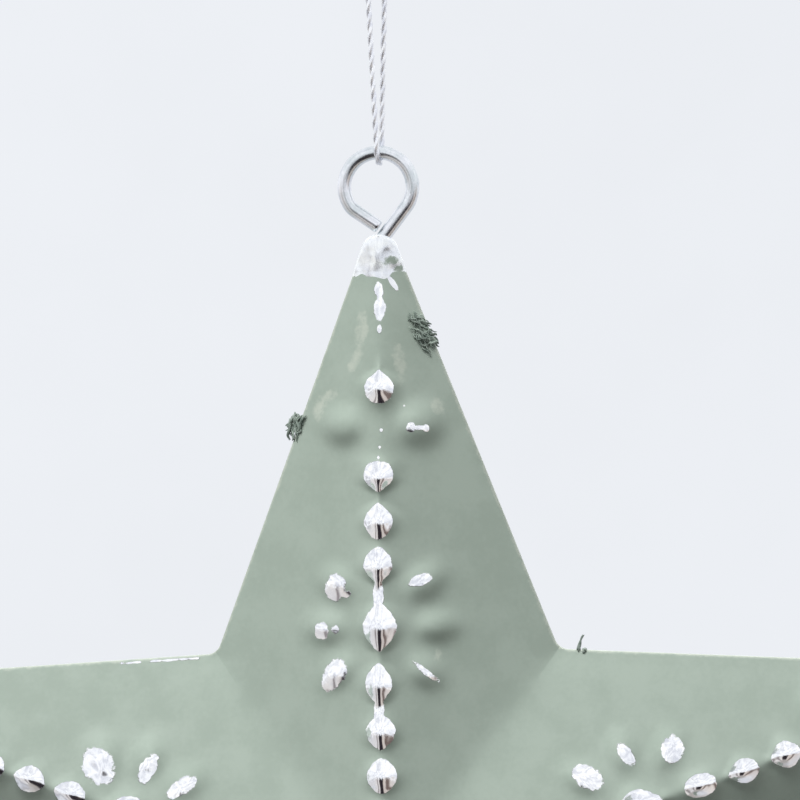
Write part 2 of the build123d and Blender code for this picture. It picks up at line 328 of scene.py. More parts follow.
class Bump:
    """One pressed bump of an arm's ridge or face: its place, size and way."""

    def __init__(self, place, size, turn=0.0, tapers=(0.0, 0.0), dome=1.0):
        self.along, self.side = place
        self.length, self.width, self.height = size
        self.turn = turn
        self.tapers = tapers
        self.dome = dome

    def reach(self, along, side):
        """0 at the bump's middle and 1 at the end of its length and width."""
        ahead, beside = along - self.along, side - self.side
        way = 2 * (ahead * cos(self.turn) + beside * sin(self.turn)) / self.length
        across = 2 * (beside * cos(self.turn) - ahead * sin(self.turn)) / self.width
        taper = np.where(way > 0, self.tapers[0], self.tapers[1])
        return way**2 + (across / (1 - taper * np.minimum(way**2, 1))) ** 2

    def lift(self, along, side):
        """How far the bump is pressed out at a place; its foot runs out softly.

        A larger `dome` gives a rounder top and a plainer foot.
        """
        return self.height * np.exp(-FOOT * self.reach(along, side) ** self.dome)


def in_mm(*rows):
    """Rows of millimetres as rows of metres."""
    return tuple(tuple(value * MM for value in row) for row in rows)


def flat_patch(place, beside, long, wide, turn=0.0):
    """A patch of the skin that isn't raised, from millimetres and degrees."""
    return Bump((place * MM, beside * MM), (long * MM, wide * MM, 0.0), radians(turn))


# Beads of the top arm's front: place along, place beside the ridge, length, width and the tapers
# of the outer and the inner end
TOP_BEADS = tuple(
    (place * MM, beside * MM, long * MM, wide * MM, outer, inner)
    for place, beside, long, wide, outer, inner in (
        (50.1, 0.0, 3.4, 3.0, 0.75, 0.0),
        (41.2, -0.1, 3.1, 3.0, -0.25, 0.65),
        (36.8, -0.1, 3.8, 2.9, 0.7, 0.3),
        (32.4, -0.15, 3.7, 2.9, 0.15, 0.75),
        (20.8, -0.12, 4.1, 2.7, 0.5, 0.55),
        (16.05, 0.1, 3.5, 2.9, 0.2, 0.4),
        (11.75, 0.2, 3.5, 3.0, 0.3, 0.3),
        (7.4, 0.0, 3.5, 2.9, 0.2, 0.3),
    )
)

# How the top arm's flower, petals and leaves stray along it, and how its leaves have grown
TOP_FLOWER_SHIFT, TOP_PETAL_SHIFT, TOP_LEAF_SHIFT = -0.3 * MM, -0.4 * MM, 0.1 * MM
TOP_LEAF_GROWTH = (1.05, 1.25, 1.2)

# How the other arms' beads vary, as shares of their size, in their tapers and beside the ridge,
# and how all petals vary in size
BEAD_LENGTHS, BEAD_WIDTHS, BEAD_TAPERS = (0.82, 1.0), (0.8, 1.0), (-0.1, 0.65)
BEAD_STRAY = 0.15 * MM
PETAL_SIZES = (0.92, 1.08)

# Shape of the bead at the centre, height to width, of the flower's ends and of the petals' tops
CENTRE_RISE = 0.39
FLOWER_TAPERS = (0.6, 0.6)
PETAL_DOME = 1.2

# Bare patches of the front: arm, place along, place beside the ridge, length, width, turn
BARE_PATCHES = (
    (0, 30.3, -4.55, 2.8, 2.1, 10),
    (0, 29.6, -3.3, 1.0, 0.6, 60),
    (0, 25.95, -5.95, 1.8, 1.6, 0),
    (0, 26.15, -4.5, 0.9, 0.7, 0),
    (0, 21.65, -4.7, 3.5, 2.2, 33),
    (0, 30.9, 4.0, 2.4, 1.2, 70),
    (0, 21.8, 4.55, 3.2, 0.6, 130),
    (0, 60.4, 1.35, 1.9, 0.5, 146),
    (0, 45.98, 3.15, 1.0, 0.9, 0),
    (0, 45.95, 3.9, 1.6, 0.5, 85),
    (0, 45.9, 4.6, 0.8, 0.7, 0),
    (0, 59.7, 0.0, 1.7, 0.9, 0),
    (0, 57.8, 0.05, 2.3, 1.2, 0),
    (0, 55.8, 0.05, 0.9, 0.5, 0),
    (0, 29.6, -0.12, 3.0, 1.1, 0),
    (0, 18.3, -0.05, 3.2, 1.0, 0),
    (0, 45.8, 0.2, 0.4, 0.35, 0),
    (0, 44.1, 0.03, 0.35, 0.3, 0),
    (0, 43.1, -0.07, 0.4, 0.3, 0),
    (1, 22.8, -4.35, 3.3, 2.1, 48),
    (1, 27.0, -5.3, 2.7, 1.3, 70),
    (1, 31.5, -4.25, 2.7, 2.2, -70),
    (4, 31.2, 3.4, 4.0, 3.1, 40),
    (4, 26.35, 4.6, 3.2, 1.6, 100),
    (4, 22.5, 3.95, 3.5, 1.6, 132),
)

# Sides of the front's arms whose petals have no bare patches but these
BY_HAND = {0: (-1, 1), 1: (-1,), 4: (1,)}

# Elsewhere: share of the petals that keep their paint, the patches' size to the petal's, and how
# far the patches stray and turn from it
WHOLE_PETALS = 0.25
PATCH_SIZES = (0.25, 0.75)
PATCH_STRAY, PATCH_TURN = 0.5 * MM, 0.5


def bead_places(pressing, leaf_place):
    """Places of an arm's beads along its ridge."""
    places = [leaf_place + pressing.outer_pitch]
    place = pressing.flower_place + pressing.outer_gap
    while place < leaf_place - pressing.outer_pitch / 2:
        places.append(place)
        place += pressing.outer_pitch
    place = pressing.flower_place - pressing.inner_gap
    while place > pressing.centre_width / 2 + pressing.bead_length:
        places.append(place)
        place -= pressing.inner_pitch
    return places


def arm_bumps(form, pressing, chance, top):
    """The beads and the petals of one arm; the top arm's are given one by one."""
    p = pressing
    leaf_place = form.star.sharp_tip_radius - (p.leaf_side + p.leaf_room) / tan(form.alpha)
    beads = TOP_BEADS if top else [
        (
            place, chance.uniform(-BEAD_STRAY, BEAD_STRAY),
            p.bead_length * chance.uniform(*BEAD_LENGTHS),
            p.bead_width * chance.uniform(*BEAD_WIDTHS), *chance.uniform(*BEAD_TAPERS, 2),
        )
        for place in bead_places(p, leaf_place)
    ]
    flower_place = p.flower_place + (TOP_FLOWER_SHIFT if top else 0.0)
    flower_size = (p.flower_length, p.flower_width, p.flower_height)
    ridge = [
        Bump((0.0, 0.0), (p.centre_width, p.centre_width, CENTRE_RISE * p.centre_width)),
        Bump((flower_place, 0.0), flower_size, tapers=FLOWER_TAPERS),
    ]
    for place, beside, long, wide, outer, inner in beads:
        ridge.append(Bump((place, beside), (long, wide, p.bead_height), tapers=(outer, inner)))
    petals = []
    for side in (-1, 1):
        for place, beside, turn in (
            (p.flower_place, p.petal_side, pi / 2),
            (leaf_place, p.leaf_side, p.leaf_turn),
            (p.flower_place + p.diagonal_along, p.diagonal_side, p.diagonal_turn),
            (p.flower_place - p.diagonal_along, p.diagonal_side, pi - p.diagonal_turn),
        ):
            size = np.array([p.petal_length, p.petal_width, p.petal_height])
            size = size * chance.uniform(*PETAL_SIZES, 3)
            shift = TOP_PETAL_SHIFT if top else 0.0
            if top and place == leaf_place:
                size, shift = size * TOP_LEAF_GROWTH, TOP_LEAF_SHIFT
            petals.append(Bump((place + shift, side * beside), size, side * turn, dome=PETAL_DOME))
    return ridge, petals


def bare_patches(arm, petals, chance, seen):
    """Where an arm's paint is rubbed off its petals; out of sight it is left to chance."""
    patches = []
    by_hand = BY_HAND.get(arm, ()) if seen else ()
    for petal in petals:
        if np.sign(petal.side) in by_hand or chance.random() < WHOLE_PETALS:
            continue
        size = np.array([petal.length, petal.width]) * chance.uniform(*PATCH_SIZES, 2)
        place = np.array([petal.along, petal.side]) + chance.uniform(-PATCH_STRAY, PATCH_STRAY, 2)
        turn = petal.turn + chance.uniform(-PATCH_TURN, PATCH_TURN)
        patches.append(Bump(place, (*size, 0.0), turn))
    if seen:
        patches += [flat_patch(*patch) for patch_arm, *patch in BARE_PATCHES if patch_arm == arm]
    return patches


# Mesh making


class MeshStock:
    """Collects points, faces and values of the points, and makes them into one object."""

    def __init__(self):
        self.points = []
        self.faces = []
        self.values = {}
        self.count = 0

    def add(self, points, faces, **values):
        points = np.asarray(points, float).reshape(-1, 3)
        self.points.append(points)
        self.faces.extend(tuple(int(i) + self.count for i in face) for face in faces)
        for name, value in values.items():
            self.values.setdefault(name, []).append(np.broadcast_to(value, len(points)))
        self.count += len(points)

    def make(self, name):
        mesh = bpy.data.meshes.new(name)
        mesh.from_pydata(np.concatenate(self.points).tolist(), [], self.faces)
        for value_name, values in self.values.items():
            put_values(mesh, value_name, np.concatenate(values))
        mesh.shade_smooth()
        return link_object(name, mesh)


def put_values(mesh, name, values):
    """Keeps one number for each point, which the materials read by its name."""
    attribute = mesh.attributes.new(name, "FLOAT", "POINT")
    attribute.data.foreach_set("value", np.ascontiguousarray(values, np.float32))


def link_object(name, data):
    made = bpy.data.objects.new(name, data)
    bpy.context.scene.collection.objects.link(made)
    return made


def grid_faces(rows, columns):
    """Faces of a grid of points that is counted row by row."""
    first = (np.arange(rows - 1)[:, None] * columns + np.arange(columns - 1)).ravel()
    return np.stack([first, first + 1, first + columns + 1, first + columns], axis=1)


def wrapped_faces(rows, columns):
    """Faces of a grid of points whose rows are closed rings."""
    row = np.arange(rows - 1)[:, None] * columns
    here = np.arange(columns)
    after = (here + 1) % columns
    return np.stack(
        [(row + here), (row + after), (row + columns + after), (row + columns + here)], axis=-1
    ).reshape(-1, 4)


def run_along(line):
    """Length of a line up to each of its points."""
    return np.concatenate([[0], np.cumsum(np.linalg.norm(np.diff(line, axis=0), axis=1))])


def line_frames(line):
    """Two cross directions for each point of a line, which turn as little as they can."""
    ahead = np.gradient(line, axis=0)
    ahead /= np.linalg.norm(ahead, axis=1)[:, None]
    start = np.eye(3)[np.argmin(np.abs(ahead[0]))]
    across = np.empty_like(line)
    for i, way in enumerate(ahead):
        start = start - way * (start @ way)
        start = start / np.linalg.norm(start)
        across[i] = start
    return across, np.cross(ahead, across)


def turned(across, up, turn):
    """Directions between two cross directions, at a turn from the first."""
    return np.cos(turn)[..., None] * across + np.sin(turn)[..., None] * up


def add_tube(stock, line, radius, sides):
    """A tube round a line, with closed ends; `along` and `around` say where on it a point is."""
    radius = np.broadcast_to(radius, len(line))
    across, up = line_frames(line)
    turn = np.arange(sides) / sides
    ring = turned(across[:, None], up[:, None], 2 * pi * turn)
    points = line[:, None] + radius[:, None, None] * ring
    run = run_along(line)
    last = (len(line) - 1) * sides
    caps = []
    for i in range(sides):
        after = (i + 1) % sides
        caps.append((len(line) * sides, after, i))
        caps.append((len(line) * sides + 1, last + i, last + after))
    stock.add(
        np.concatenate([points.reshape(-1, 3), line[:1], line[-1:]]),
        [*wrapped_faces(len(line), sides), *caps],
        along=np.concatenate([np.repeat(run, sides), run[[0, -1]]]),
        around=np.concatenate([np.tile(np.abs(2 * turn - 1), len(line)), [0.5, 0.5]]),
    )


def even_line(line, step):
    """The line again, with points about a step apart."""
    run = run_along(line)
    places = np.linspace(0, run[-1], max(int(run[-1] / step), 2) + 1)
    return np.stack([np.interp(places, run, line[:, axis]) for axis in range(3)], axis=1)


def route_line(points):
    """The smooth line of a route whose points are given."""
    curve = bpy.data.curves.new("route", "CURVE")
    curve.dimensions = "3D"
    curve.resolution_u = 40
    spline = curve.splines.new("NURBS")
    spline.points.add(len(points) - 1)
    for place, point in zip(spline.points, points):
        place.co = (*point, 1)
    spline.order_u = 3
    spline.use_endpoint_u = True
    holder = bpy.data.objects.new("route", curve)
    mesh = bpy.data.meshes.new_from_object(holder)
    line = np.array([vertex.co for vertex in mesh.vertices], float)
    bpy.data.meshes.remove(mesh)
    bpy.data.curves.remove(curve)
    return line


# Node helpers


def feed(tree, socket, value):
    """Sets a socket, or joins it to another node's socket."""
    if isinstance(value, bpy.types.NodeSocket):
        tree.links.new(value, socket)
    elif hasattr(value, "__len__") and len(value) == 3 and socket.type == "RGBA":
        socket.default_value = (*value, 1)
    else:
        socket.default_value = value


def add_node(tree, kind, inputs=(), **choices):
    """A new node with its choices made and its inputs fed."""
    node = tree.nodes.new(kind)
    for name, value in choices.items():
        setattr(node, name, value)
    for key, value in dict(inputs).items():
        feed(tree, node.inputs[key], value)
    return node


def maths(tree, operation, first, second=0.0):
    return add_node(tree, "ShaderNodeMath", {0: first, 1: second}, operation=operation).outputs[0]


def times(tree, first, second):
    return maths(tree, "MULTIPLY", first, second)


def plus(tree, first, second):
    return maths(tree, "ADD", first, second)


def mix_colour(tree, factor, first, second):
    node = add_node(tree, "ShaderNodeMix", {0: factor, 6: first, 7: second}, data_type="RGBA")
    return node.outputs[2]


def mix_value(tree, factor, first, second):
    return add_node(tree, "ShaderNodeMix", {0: factor, 2: first, 3: second}).outputs[0]


def noise(tree, vector, scale, detail=3.0, roughness=0.55):
    inputs = {"Vector": vector, "Scale": scale, "Detail": detail, "Roughness": roughness}
    return add_node(tree, "ShaderNodeTexNoise", inputs).outputs["Fac"]


def step_up(tree, value, low, high):
    """0 below `low`, 1 above `high`, and smooth between."""
    inputs = {"Value": value, "From Min": low, "From Max": high}
    node = add_node(tree, "ShaderNodeMapRange", inputs, interpolation_type="SMOOTHSTEP")
    return node.outputs["Result"]


def own_place(tree):
    return add_node(tree, "ShaderNodeTexCoord").outputs["Object"]


def kept_value(tree, name):
    return add_node(tree, "ShaderNodeAttribute", attribute_name=name).outputs["Fac"]


def fill_rubbed_paint(group, entry, way_out):
    """Where paint is rubbed off: a smooth field cut along a ragged line."""
    cloud = noise(group, entry["Place"], entry["Scale"], 4.0, 0.6)
    shift = times(group, maths(group, "SUBTRACT", cloud, 0.5), entry["Raggedness"])
    field = plus(group, entry["Field"], shift)
    low = times(group, entry["Edge"], -1.0)
    feed(group, way_out["Mask"], step_up(group, field, low, entry["Edge"]))


def fill_clouds(group, entry, way_out):
    """Two colours in soft clouds, with a finer cloud on top."""
    large = noise(group, entry["Place"], entry["Scale"], 3.0, 0.6)
    fine = noise(group, entry["Place"], times(group, entry["Scale"], 9.0), 2.0)
    cloud = plus(group, times(group, large, 0.75), times(group, fine, 0.25))
    cloud = step_up(group, cloud, 0.36, 0.64)
    feed(group, way_out["Cloud"], cloud)
    feed(group, way_out["Colour"], mix_colour(group, cloud, entry["First"], entry["Second"]))


def fill_specks(group, entry, way_out):
    """Small scattered specks."""
    inputs = {"Vector": entry["Place"], "Scale": entry["Scale"]}
    cells = add_node(group, "ShaderNodeTexVoronoi", inputs).outputs
    chance = add_node(group, "ShaderNodeSeparateColor", {"Color": cells["Color"]}).outputs
    size = times(group, entry["Size"], chance["Green"])
    inside = maths(group, "LESS_THAN", cells["Distance"], size)
    chosen = maths(group, "LESS_THAN", chance["Red"], entry["Share"])
    feed(group, way_out["Mask"], times(group, inside, chosen))


def fill_uneven_polish(group, entry, way_out):
    """Uneven polish of bare metal: its roughness and its small dents."""
    cloud = noise(group, entry["Place"], entry["Scale"], 3.0, 0.6)
    dents = noise(group, entry["Place"], times(group, entry["Scale"], 0.75), 0.6, 0.4)
    feed(group, way_out["Roughness"], mix_value(group, cloud, entry["Smooth"], entry["Rough"]))
    feed(group, way_out["Height"], dents)


NUMBER, VECTOR, COLOUR = "NodeSocketFloat", "NodeSocketVector", "NodeSocketColor"

# Shader groups: what fills them, their inputs beside the place, with defaults, and their outputs
SHADER_GROUPS = {
    "Rubbed paint": (
        fill_rubbed_paint,
        {"Field": 0.0, "Scale": 1500.0, "Raggedness": 0.5, "Edge": 0.06},
        {"Mask": NUMBER},
    ),
    "Clouds": (
        fill_clouds,
        {"Scale": 100.0, "First": (1, 1, 1, 1), "Second": (0.5, 0.5, 0.5, 1)},
        {"Colour": COLOUR, "Cloud": NUMBER},
    ),
    "Specks": (
        fill_specks,
        {"Scale": 500.0, "Size": 0.1, "Share": 0.1},
        {"Mask": NUMBER},
    ),
    "Uneven polish": (
        fill_uneven_polish,
        {"Scale": 900.0, "Smooth": 0.08, "Rough": 0.25},
        {"Roughness": NUMBER, "Height": NUMBER},
    ),
}


def shader_group(name):
    """The shader group of this name, made when it is first asked for."""
    if name in bpy.data.node_groups:
        return bpy.data.node_groups[name]
    fill, inputs, outputs = SHADER_GROUPS[name]
    group = bpy.data.node_groups.new(name, "ShaderNodeTree")
    group.interface.new_socket("Place", in_out="INPUT", socket_type=VECTOR)
    for socket_name, default in inputs.items():
        kind = NUMBER if isinstance(default, float) else COLOUR
        socket = group.interface.new_socket(socket_name, in_out="INPUT", socket_type=kind)
        socket.default_value = default
    for socket_name, kind in outputs.items():
        group.interface.new_socket(socket_name, in_out="OUTPUT", socket_type=kind)
    entry = group.nodes.new("NodeGroupInput")
    way_out = group.nodes.new("NodeGroupOutput")
    fill(group, entry.outputs, way_out.inputs)
    return group


def place_group(tree, name, **inputs):
    return add_node(tree, "ShaderNodeGroup", inputs, node_tree=shader_group(name)).outputs


def clouded(tree, place, scale, first, second):
    return place_group(tree, "Clouds", Place=place, Scale=scale, First=first, Second=second)


# Materials


def new_material(name):
    """An empty material with its node tree, its shader and the place on the piece."""
    material = bpy.data.materials.new(name)
    material.use_nodes = True
    tree = material.node_tree
    tree.nodes.clear()
    shader = tree.nodes.new("ShaderNodeBsdfPrincipled")
    output = tree.nodes.new("ShaderNodeOutputMaterial")
    tree.links.new(shader.outputs["BSDF"], output.inputs["Surface"])
    return material, tree, shader, own_place(tree)


def feed_shader(tree, shader, **inputs):
    for name, value in inputs.items():
        feed(tree, shader.inputs[name.replace("_", " ")], value)


def bumped(tree, height, distance):
    inputs = {"Height": height, "Distance": distance}
    return add_node(tree, "ShaderNodeBump", inputs).outputs["Normal"]


def painted_tin(finish):
    """Sage paint with clouds, specks and pale rubs, worn through to bright tin on the bumps; the
    pale rubs are partly painted highlights of the paint's sheen and along every edge.
    """
    material, tree, shader, place = new_material("painted_tin")
    bare = place_group(
        tree, "Rubbed paint", Place=place, Field=kept_value(tree, "bare"), Scale=1600.0,
        Raggedness=0.95, Edge=0.06,
    )["Mask"]
    pale = place_group(
        tree, "Rubbed paint", Place=place, Field=kept_value(tree, "scuff_and_highlight"), Scale=1300.0,
        Raggedness=4.0, Edge=0.9,
    )["Mask"]
    clouds = clouded(tree, place, 240.0, finish.sage, finish.olive)
    # Pale paint over rubs, over painted sheen highlights and over a painted highlight along every
    # edge
    paint = mix_colour(tree, times(tree, pale, 0.65), clouds["Colour"], finish.scuff_and_highlight)
    for tint, scale, size, share in (
        (finish.tin, 420.0, 0.07, 0.07),
        (finish.tack_light, 380.0, 0.06, 0.06),
    ):
        specks = place_group(tree, "Specks", Place=place, Scale=scale, Size=size, Share=share)
        paint = mix_colour(tree, specks["Mask"], paint, tint)
    tin = clouded(tree, place, 700.0, finish.tin, finish.tin_shade)["Colour"]
    polish = place_group(tree, "Uneven polish", Place=place, Scale=900.0, Smooth=0.06, Rough=0.2)
    paint_rough = mix_value(tree, clouds["Cloud"], 0.34, 0.46)
    orange_peel = noise(tree, place, 1100.0, 2.0)
    height = mix_value(tree, bare, times(tree, orange_peel, 0.12), -1.0)
    dents = times(tree, polish["Height"], bare)
    height = plus(tree, height, times(tree, dents, 3.6))
    feed_shader(
        tree, shader,
        Base_Color=mix_colour(tree, bare, paint, tin),
        Metallic=bare,
        Roughness=mix_value(tree, bare, paint_rough, polish["Roughness"]),
        Normal=bumped(tree, height, 0.05 * MM),
    )
    return material


def bright_solder(finish):
    """Solder that froze bright, with bluish clouds, small dents and a rest of paint on it."""
    material, tree, shader, place = new_material("solder")
    metal = clouded(tree, place, 600.0, finish.solder, finish.solder_shade)["Colour"]
    polish = place_group(tree, "Uneven polish", Place=place, Scale=1000.0, Smooth=0.12, Rough=0.3)
    stain = place_group(
        tree, "Rubbed paint", Place=place, Field=kept_value(tree, "stain"), Scale=1700.0,
        Raggedness=5.5, Edge=0.7,
    )["Mask"]
    feed_shader(
        tree, shader,
        Base_Color=mix_colour(tree, stain, metal, finish.olive),
        Metallic=mix_value(tree, stain, 0.65, 0.0),
        Roughness=polish["Roughness"],
        Normal=bumped(tree, polish["Height"], 0.16 * MM),
    )
    return material


def drawn_wire(finish):
    """Bright wire with the fine lines of the drawing die along it."""
    material, tree, shader, place = new_material("bright_wire")
    lines_at = add_node(tree, "ShaderNodeCombineXYZ", {
        "X": times(tree, kept_value(tree, "along"), 120.0),
        "Y": times(tree, kept_value(tree, "around"), 26.0),
    }).outputs[0]
    lines = noise(tree, lines_at, 1.0, 3.0)
    polish = place_group(tree, "Uneven polish", Place=place, Scale=700.0, Smooth=0.14, Rough=0.26)
    height = plus(tree, times(tree, lines, 0.2), polish["Height"])
    feed_shader(
        tree, shader,
        Base_Color=clouded(tree, place, 420.0, finish.wire, finish.tin_shade)["Colour"],
        Metallic=1.0,
        Roughness=plus(tree, polish["Roughness"], times(tree, lines, 0.06)),
        Normal=bumped(tree, height, 0.03 * MM),
    )
    return material


def crumbled_paint(finish):
    """Thick dark paint on crumbs of metal, chipped to lighter green and bright specks."""
    material, tree, shader, place = new_material("seam_tack")
    clouds = clouded(tree, place, 1300.0, finish.tack, finish.tack_light)
    specks = place_group(tree, "Specks", Place=place, Scale=2600.0, Size=0.5, Share=0.06)["Mask"]
    feed_shader(
        tree, shader,
        Base_Color=mix_colour(tree, specks, clouds["Colour"], finish.tin),
        Metallic=specks,
        Roughness=mix_value(tree, clouds["Cloud"], 0.22, 0.45),
        Normal=bumped(tree, noise(tree, place, 5200.0, 2.0), 0.03 * MM),
    )
    return material


def metallic_thread(finish):
    """Silvery thread: pale filaments with grey painted shade between them, slanting across each
    ply.
    """
    material, tree, shader, place = new_material("thread")
    slant = times(tree, kept_value(tree, "along"), 4200.0)
    slant = plus(tree, slant, times(tree, kept_value(tree, "around"), 9.0))
    filaments = times(tree, maths(tree, "SINE", slant), 0.5)
    clouds = clouded(tree, place, 1500.0, finish.thread, finish.thread_shade)
    # The grey between the filaments is painted shade
    gap_shade = times(tree, step_up(tree, filaments, 0.0, -0.5), 0.35)
    feed_shader(
        tree, shader,
        Base_Color=mix_colour(tree, gap_shade, clouds["Colour"], finish.thread_shade),
        Metallic=0.9,
        Roughness=mix_value(tree, clouds["Cloud"], 0.38, 0.55),
        Normal=bumped(tree, filaments, 0.02 * MM),
    )
    return material


# Pieces


def settings():
    return bpy.context.scene.tin_star


def finish_piece(piece, material, slot, *nodes):
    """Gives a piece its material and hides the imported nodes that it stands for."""
    piece.data.materials.append(material)
    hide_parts(*nodes)
    return piece


# Points over half an arm: rows beside the valley, out to the tip and round it, columns of the face
# and the width of each to the one before, and columns of the rim as shares of the edge band
VALLEY_ROWS, ARM_ROWS, TIP_ROWS = 110, 190, 14
FACE_COLUMNS, COLUMN_GROWTH = 46, 1.04
RIM_COLUMNS = np.array([0.75, 0.5, 0.3, 0.15, 0.06, 0.0])

# Columns of the inside as shares of its width
INSIDE_COLUMNS = np.array([0, 0.5, 1.0])

# In edge bands: how far the face and the inside keep from the outline, and the half width of an
# arm at which the band begins to narrow
FACE_GAP, INSIDE_GAP = 1.2, 1.3
NARROW_ARM = 4

# Points of a shell that are nearer than this become one
WELD_GAP = 0.0003 * MM


def half_arm_places(form):
    """Places over half an arm, row by row outwards: the face's columns, then the rim's."""
    band = form.star.edge_band
    rows = np.concatenate([
        np.linspace(0, form.valley_end, VALLEY_ROWS)[:-1],
        np.linspace(form.valley_end, form.tip_centre, ARM_ROWS)[:-1],
        form.tip_rows(TIP_ROWS),
    ])
    steps = np.cumsum(COLUMN_GROWTH ** np.arange(FACE_COLUMNS))
    face = np.concatenate([[0], steps]) / steps[-1]
    rim = band * RIM_COLUMNS / cos(form.alpha)
    width = form.half_width(rows)[:, None]
    squeeze = np.minimum(1, width / (NARROW_ARM * band))
    face_width = width - FACE_GAP * band * squeeze
    side = np.concatenate([face * face_width, width - rim * squeeze], axis=1)
    return np.broadcast_to(rows[:, None], side.shape), side


def press_half(name, facing, seen):
    """One half of the star as a closed shell: pressed face, rim, flat seam and plain inside."""
    made = settings()
    form = StarForm(made.star)
    chance = np.random.default_rng(SEED if seen else SEED + 1)
    numbers = range(made.star.arm_count)
    arms = [arm_bumps(form, made.pressing, chance, seen and arm == 0) for arm in numbers]
    patches = [bare_patches(arm, arms[arm][1], chance, seen) for arm in numbers]
    along, side = half_arm_places(form)
    outline = side[:, -1:]
    in_valley = along[:, :1] < form.valley_end - SAME
    seam = np.flatnonzero(~in_valley)
    inset = np.minimum(INSIDE_GAP * made.star.edge_band, 0.5 * outline)
    inner_side = INSIDE_COLUMNS * np.where(in_valley, outline, outline - inset)
    inner_along = np.broadcast_to(along[:, :1], inner_side.shape)
    wall_drop = made.star.sheet * np.hypot(1, form.rise)
    inner_height = np.clip(form.facet_height(inner_along, inner_side) - wall_drop, 0, None)
    inner_height[seam, -1] = 0
    stock = MeshStock()
    for arm, (ridge, petals) in enumerate(arms):
        for hand in (-1, 1):
            beside = hand * side
            height = form.facet_height(along, beside)
            for bump in (*petals, *ridge):
                height = height + bump.lift(along, beside)
            height = form.round_edge(along, beside, height)
            face = form.to_frame(arm, along, beside, height, facing)
            stock.add(face, grid_faces(*along.shape))
            inner = form.to_frame(arm, inner_along, hand * inner_side, inner_height, facing)
            stock.add(inner, grid_faces(*inner_side.shape))
            edge = [
                (along[seam, -1], beside[seam, -1], height[seam, -1]),
                (along[seam, -1], beside[seam, -1], 0 * seam),
                (inner_along[seam, -1], hand * inner_side[seam, -1], 0 * seam),
            ]
            strip = np.stack([form.to_frame(arm, *line, facing) for line in edge], axis=1)
            stock.add(strip, grid_faces(len(seam), len(edge)))
    piece = stock.make(name)
    weld(piece.data)
    rub_values(piece.data, form, [ridge for ridge, _ in arms], patches, seen)
    return piece


def weld(mesh):
    """Joins the parts of a shell into one skin whose faces look outwards."""
    shell = bmesh.new()
    shell.from_mesh(mesh)
    bmesh.ops.remove_doubles(shell, verts=shell.verts, dist=WELD_GAP)
    bmesh.ops.dissolve_degenerate(shell, edges=shell.edges, dist=SAME)
    bmesh.ops.recalc_face_normals(shell, faces=shell.faces)
    for edge in shell.edges:
        if all(abs(vertex.co.y) < SAME for vertex in edge.verts):
            edge.smooth = False
    shell.to_mesh(mesh)
    shell.free()


# Pale rubs on the front of the top arm, partly worn paint and partly painted highlight of the
# paint's sheen: place along, place beside the ridge, length, width, turn
SCUFFS_AND_HIGHLIGHTS = (
    (55.8, -1.8, 4.6, 1.3, 4),
    (52.6, -2.6, 3.2, 1.0, 25),
    (52.4, 2.0, 4.0, 1.2, -10),
    (48.2, -6.2, 2.6, 1.5, 20),
    (49.3, -5.2, 2.0, 1.2, 60),
    (48.1, 5.6, 1.9, 1.4, -40),
    (23.4, 5.6, 1.2, 1.0, 0),
)

# Bare strips beside the front's edge: arm, side, and the stretch from the notch
RIM_WEAR = ((4, 1, 1.6 * MM, 6.6 * MM), (4, 1, 7.4 * MM, 9.4 * MM))

# Middle of these strips inside the edge, half their width, their rise and how long they run out
STRIP_GAP, STRIP_WIDTH, STRIP_RISE, STRIP_ENDS = 0.3 * MM, 0.26 * MM, 0.42, 2.5 * MM

# Wear and painted highlights are kept as fields that show above 0: their lowest value, how steeply
# they fall from the middle of beads and patches, how high scuffs and sheen highlights rise, and
# the rise and width of the painted highlight along the edge
FIELD_FLOOR = -2.0
BEAD_FALL, PATCH_FALL = 1.8, 0.6
SCUFF_AND_HIGHLIGHT_RISE = 0.5
EDGE_HIGHLIGHT_RISE, EDGE_HIGHLIGHT_WIDTH = 0.8, 0.18 * MM


def rub_values(mesh, form, beads, patches, seen):
    """Keeps where the paint is rubbed off, and where it is scuffed or paled by painted highlights,
    for the material.
    """
    points = np.empty(len(mesh.vertices) * 3, np.float32)
    mesh.vertices.foreach_get("co", points)
    arms, along, side = form.to_arm(points.reshape(-1, 3).astype(float))
    gap = form.edge_gap(along, side)
    bare = np.full(len(gap), FIELD_FLOOR)
    # A pale line along every edge is a painted highlight
    scuff_and_highlight = EDGE_HIGHLIGHT_RISE - gap / EDGE_HIGHLIGHT_WIDTH
    for arm in range(form.star.arm_count):
        here = arms == arm
        place = along[here], side[here]
        worn = [BEAD_FALL * (1 - bead.reach(*place)) for bead in beads[arm]]
        worn += [PATCH_FALL * (1 - patch.reach(*place)) for patch in patches[arm]]
        bare[here] = np.max([bare[here], *worn], axis=0)
    if seen:
        # Pale rubs on the top arm, partly worn paint and partly painted highlight
        for rub in SCUFFS_AND_HIGHLIGHTS:
            rise = SCUFF_AND_HIGHLIGHT_RISE - flat_patch(*rub).reach(along, side)
            scuff_and_highlight = np.where(arms == 0, np.maximum(scuff_and_highlight, rise), scuff_and_highlight)
        for arm, hand, start, end in RIM_WEAR:
            run = (along - form.notch_along) / cos(form.alpha)
            inside = np.minimum(run - start, end - run) / STRIP_ENDS
            near = STRIP_RISE - np.abs(gap - STRIP_GAP) / STRIP_WIDTH
            strip = np.minimum(inside, near)
            bare = np.where((arms == arm) & (side * hand > 0), np.maximum(bare, strip), bare)
    put_values(mesh, "bare", np.clip(bare, FIELD_FLOOR, 2))
    put_values(mesh, "scuff_and_highlight", np.clip(scuff_and_highlight, -1.5, 1))


# Points of the eye's bends and of its ring, sides of the wire, and the wire's rounded cut end as
# shares of its radius
BEND_POINTS, RING_POINTS, WIRE_SIDES = 12, 150, 28
CUT_END = (0.99, 0.95, 0.86)


def heading(turn):
    return np.array([cos(turn), sin(turn)])


def arc(centre, radius, first, last, count):
    """Points of an arc between two angles."""
    return [centre + radius * heading(turn) for turn in np.linspace(first, last, count)]


